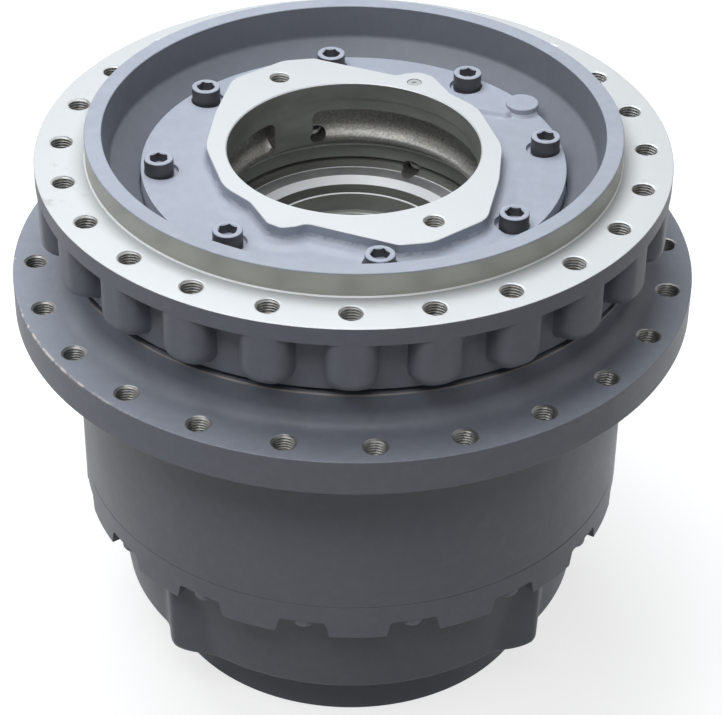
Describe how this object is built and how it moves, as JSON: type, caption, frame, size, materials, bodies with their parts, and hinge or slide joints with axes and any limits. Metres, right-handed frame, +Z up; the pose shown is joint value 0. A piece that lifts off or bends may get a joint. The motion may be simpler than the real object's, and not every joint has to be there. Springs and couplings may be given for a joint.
{
  "type": "excavator final drive",
  "caption": "Two-stage planetary track drive: a fixed flanged housing with a motor bore, and a drum-shaped hub with a sprocket flange and deep end cover that turns around it.",
  "frame": {"origin": "on the ground under the turning axis, at the centre of the end cover's foot", "axes": "+Z up along the turning axis, out of the motor bore; -Y toward the frame-flange hole at the front of the picture"},
  "size_m": [0.571, 0.571, 0.493],
  "materials": {
    "mount_paint": "satin blue-grey primer, bare machined flange face",
    "motor_paint": "satin blue-grey primer, bare machined raised face and oily bore",
    "hub_paint": "satin blue-grey primer with scratches to bare metal",
    "cover_paint": "satin blue-grey primer over rough casting",
    "screw_steel": "zinc-plated socket screws, thinly overpainted",
    "bolt_steel": "overpainted steel",
    "bearing_steel": "ground bearing steel",
    "gear_steel": "case-hardened gear steel",
    "carrier_steel": "machined steel",
    "seal_iron": "lapped hard iron",
    "seal_rubber": "nitrile rubber"
  },
  "bodies": {
    "housing": {"mount_housing": "mount_paint", "motor_housing": "motor_paint", "motor_screw_1": "screw_steel", "motor_screw_2": "screw_steel", "motor_screw_3": "screw_steel", "motor_screw_4": "screw_steel", "motor_screw_5": "screw_steel", "motor_screw_6": "screw_steel", "motor_screw_7": "screw_steel", "motor_screw_8": "screw_steel", "port_plug": "screw_steel", "upper_bearing_inner_race": "bearing_steel", "lower_bearing_inner_race": "bearing_steel", "bearing_nut": "carrier_steel", "seal_ring_fixed": "seal_iron", "seal_toric_fixed": "seal_rubber", "output_carrier": "carrier_steel", "output_pin_1": "carrier_steel", "output_pin_2": "carrier_steel", "output_pin_3": "carrier_steel"},
    "hub": {"hub": "hub_paint", "cover": "cover_paint", "cover_bolt_01": "bolt_steel", "cover_bolt_02": "bolt_steel", "cover_bolt_03": "bolt_steel", "cover_bolt_04": "bolt_steel", "cover_bolt_05": "bolt_steel", "cover_bolt_06": "bolt_steel", "cover_bolt_07": "bolt_steel", "cover_bolt_08": "bolt_steel", "cover_bolt_09": "bolt_steel", "cover_bolt_10": "bolt_steel", "cover_bolt_11": "bolt_steel", "cover_bolt_12": "bolt_steel", "cover_bolt_13": "bolt_steel", "cover_bolt_14": "bolt_steel", "cover_bolt_15": "bolt_steel", "cover_bolt_16": "bolt_steel", "drain_plug": "bolt_steel", "level_plug": "bolt_steel", "output_ring_gear": "gear_steel", "first_ring_gear": "gear_steel", "upper_bearing_outer_race": "bearing_steel", "lower_bearing_outer_race": "bearing_steel", "seal_ring_turning": "seal_iron", "seal_toric_turning": "seal_rubber"},
    "first_carrier": {"first_carrier": "carrier_steel", "first_pin_1": "carrier_steel", "first_pin_2": "carrier_steel", "first_pin_3": "carrier_steel"},
    "input_shaft": {"input_shaft": "gear_steel"},
    "upper_bearing_rollers": {"upper_bearing_rollers": "bearing_steel"},
    "lower_bearing_rollers": {"lower_bearing_rollers": "bearing_steel"},
    "output_planet_1": {"output_planet_1": "gear_steel"},
    "first_planet_1": {"first_planet_1": "gear_steel"},
    "output_planet_2": {"output_planet_2": "gear_steel"},
    "first_planet_2": {"first_planet_2": "gear_steel"},
    "output_planet_3": {"output_planet_3": "gear_steel"},
    "first_planet_3": {"first_planet_3": "gear_steel"}
  },
  "joints": [
    {"name": "hub_spin", "type": "hinge", "parent": "housing", "child": "hub", "pos_m": [0, 0, 0], "axis": [0, 0, 1], "continuous": true},
    {"name": "first_carrier_spin", "type": "hinge", "parent": "housing", "child": "first_carrier", "pos_m": [0, 0, 0], "axis": [0, 0, 1], "continuous": true},
    {"name": "input_shaft_spin", "type": "hinge", "parent": "housing", "child": "input_shaft", "pos_m": [0, 0, 0], "axis": [0, 0, 1], "continuous": true},
    {"name": "upper_rollers_spin", "type": "hinge", "parent": "housing", "child": "upper_bearing_rollers", "pos_m": [0, 0, 0], "axis": [0, 0, 1], "continuous": true},
    {"name": "lower_rollers_spin", "type": "hinge", "parent": "housing", "child": "lower_bearing_rollers", "pos_m": [0, 0, 0], "axis": [0, 0, 1], "continuous": true},
    {"name": "output_planet_1_spin", "type": "hinge", "parent": "housing", "child": "output_planet_1", "pos_m": [0.12, 0, 0.2065], "axis": [0, 0, 1], "continuous": true},
    {"name": "first_planet_1_spin", "type": "hinge", "parent": "first_carrier", "child": "first_planet_1", "pos_m": [0.099, 0, 0.093], "axis": [0, 0, 1], "continuous": true},
    {"name": "output_planet_2_spin", "type": "hinge", "parent": "housing", "child": "output_planet_2", "pos_m": [-0.06, 0.10392, 0.2065], "axis": [0, 0, 1], "continuous": true},
    {"name": "first_planet_2_spin", "type": "hinge", "parent": "first_carrier", "child": "first_planet_2", "pos_m": [-0.0495, 0.08574, 0.093], "axis": [0, 0, 1], "continuous": true},
    {"name": "output_planet_3_spin", "type": "hinge", "parent": "housing", "child": "output_planet_3", "pos_m": [-0.06, -0.10392, 0.2065], "axis": [0, 0, 1], "continuous": true},
    {"name": "first_planet_3_spin", "type": "hinge", "parent": "first_carrier", "child": "first_planet_3", "pos_m": [-0.0495, -0.08574, 0.093], "axis": [0, 0, 1], "continuous": true}
  ],
  "couplings": [
    {"joint": "first_carrier_spin", "follows": "hub_spin", "ratio": -4},
    {"joint": "input_shaft_spin", "follows": "hub_spin", "ratio": -26.5},
    {"joint": "upper_rollers_spin", "follows": "hub_spin", "ratio": 0.52},
    {"joint": "lower_rollers_spin", "follows": "hub_spin", "ratio": 0.52},
    {"joint": "output_planet_1_spin", "follows": "hub_spin", "ratio": 2.6667},
    {"joint": "first_planet_1_spin", "follows": "hub_spin", "ratio": 12.857},
    {"joint": "output_planet_2_spin", "follows": "hub_spin", "ratio": 2.6667},
    {"joint": "first_planet_2_spin", "follows": "hub_spin", "ratio": 12.857},
    {"joint": "output_planet_3_spin", "follows": "hub_spin", "ratio": 2.6667},
    {"joint": "first_planet_3_spin", "follows": "hub_spin", "ratio": 12.857}
  ]
}
